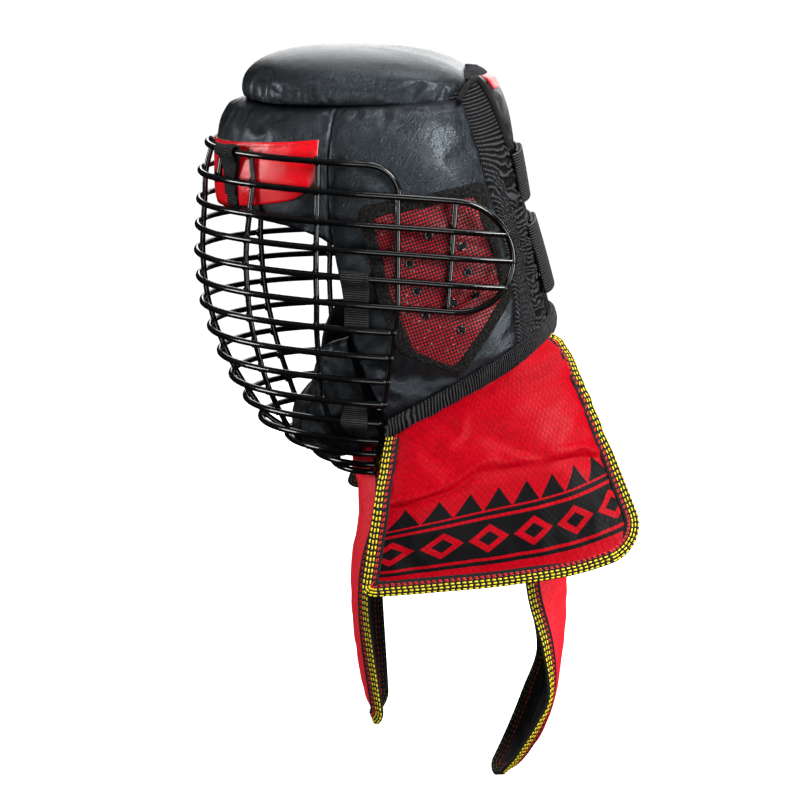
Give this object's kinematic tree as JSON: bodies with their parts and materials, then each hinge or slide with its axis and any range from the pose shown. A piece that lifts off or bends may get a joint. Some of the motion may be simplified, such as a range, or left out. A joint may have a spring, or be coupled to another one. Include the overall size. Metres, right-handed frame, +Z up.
{
  "type": "stick fighting headgear",
  "caption": "Padded leather helmet for stick fighting with a welded wire face cage, mesh ear panels, strapped back and hanging cloth guard flaps.",
  "frame": {"origin": "where the top of the head meets the crown's lining", "axes": "+Z up, +X to the wearer's left, the face looks along -Y"},
  "size_m": [0.2852, 0.3492, 0.5887],
  "materials": {
    "black_leather": "grained black artificial leather over foam",
    "red_leather": "smooth red artificial leather",
    "webbing": "ribbed black webbing",
    "ear_mesh": "red and black woven mesh",
    "felt": "fuzzy black felt tape",
    "coated_wire": "gloss black dipped coating on steel wire",
    "flap_cloth": "crimson ripstop cloth over thin foam",
    "edge_tape": "black binding tape with rows of yellow stitches"
  },
  "bodies": {
    "root": {"crown_pad": "black_leather", "front_pad": "black_leather", "back_panel": "black_leather", "jaw_guard": "black_leather", "side_pad_left": "black_leather", "side_pad_right": "black_leather", "forehead_patch": "red_leather", "back_patch": "red_leather", "top_web": "webbing", "neck_tape": "webbing", "back_web_left": "webbing", "back_web_right": "webbing", "strap_upper": "webbing", "strap_tab_upper": "webbing", "strap_lower": "webbing", "strap_tab_lower": "webbing", "forehead_tab_left": "webbing", "forehead_tab_right": "webbing", "cheek_tab_left": "webbing", "cheek_tab_right": "webbing", "jaw_tab_left": "webbing", "jaw_tab_right": "webbing", "ear_mesh_left": "ear_mesh", "ear_mesh_right": "ear_mesh", "ear_border_left": "felt", "ear_border_right": "felt", "cage": "coated_wire", "side_flap_left": "flap_cloth", "side_flap_right": "flap_cloth", "front_flap": "flap_cloth", "back_flap": "flap_cloth", "side_flap_left_tape": "edge_tape", "side_flap_right_tape": "edge_tape", "front_flap_tape": "edge_tape", "back_flap_tape": "edge_tape"}
  },
  "joints": []
}
